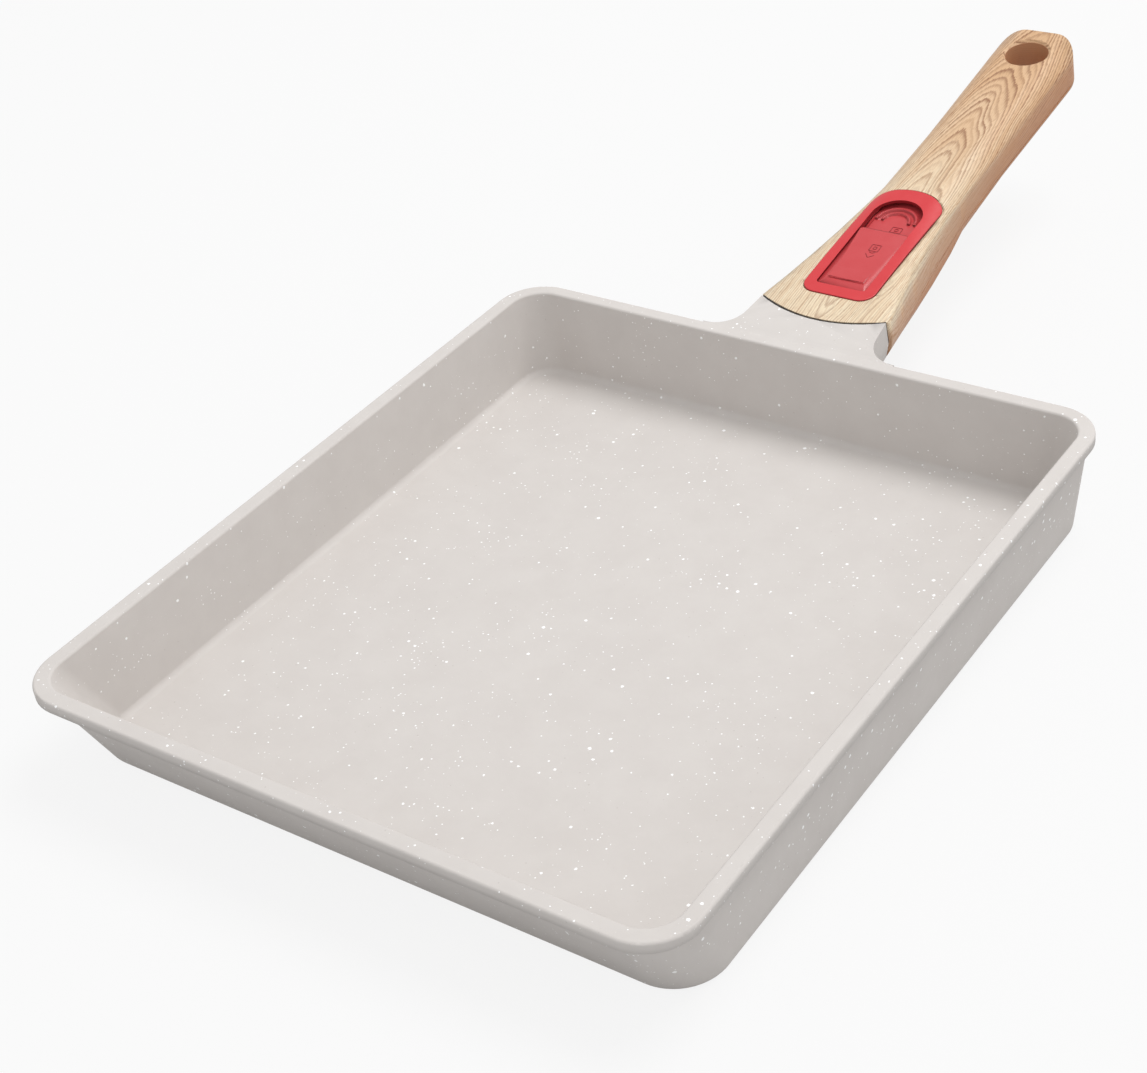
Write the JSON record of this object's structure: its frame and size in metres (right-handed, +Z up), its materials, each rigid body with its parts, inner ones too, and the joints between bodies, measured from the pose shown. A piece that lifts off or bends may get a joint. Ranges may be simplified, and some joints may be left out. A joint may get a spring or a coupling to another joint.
{
  "type": "tamagoyaki pan with detachable handle",
  "caption": "Rectangular non-stick egg-roll pan with a slanted front wall, a short neck and a wood-effect handle that comes off once its thumb slider is unlocked.",
  "frame": {"origin": "under the middle of the rim opening, on the plane the base rests on", "axes": "+X across the pan, +Y towards the tail of the handle, +Z up out of the pan"},
  "size_m": [0.19, 0.3859, 0.0559],
  "materials": {
    "granite_coating": "speckled greige stone-effect non-stick coating on cast aluminium, satin",
    "wood_effect": "heat-resistant plastic with a light wood-grain print",
    "red_plastic": "moulded red plastic, semi-gloss",
    "black_plastic": "black moulded plastic, satin",
    "steel": "stamped stainless steel",
    "spring_steel": "spring steel, bright",
    "zinc_casting": "die-cast light metal, as cast"
  },
  "bodies": {
    "pan": {"pan_body": "granite_coating"},
    "handle": {"handle_upper_shell": "wood_effect", "handle_bottom_cover": "wood_effect", "front_collar": "black_plastic", "socket_liner": "steel", "anchor_block": "zinc_casting", "liner_pin": "steel", "guide_plate": "steel", "guide_screws": "steel", "anchor_screws": "steel", "anchor_washers": "steel", "latch_spring": "spring_steel", "latch_rivets": "steel", "detent_balls": "steel", "detent_springs": "spring_steel", "grip_core": "steel", "cover_screws": "steel", "slider_bezel": "red_plastic"},
    "lock_slider": {"lock_button": "red_plastic", "slider_yoke": "steel", "yoke_screws": "steel"}
  },
  "joints": [
    {"name": "handle_pull", "type": "slide", "parent": "pan", "child": "handle", "axis": [0, 0.987, 0.1607], "range_m": [0, 0.042]},
    {"name": "lock_slide", "type": "slide", "parent": "handle", "child": "lock_slider", "axis": [0, 0.987, 0.1607], "range_m": [0, 0.009], "deforming": ["latch_spring"]}
  ]
}
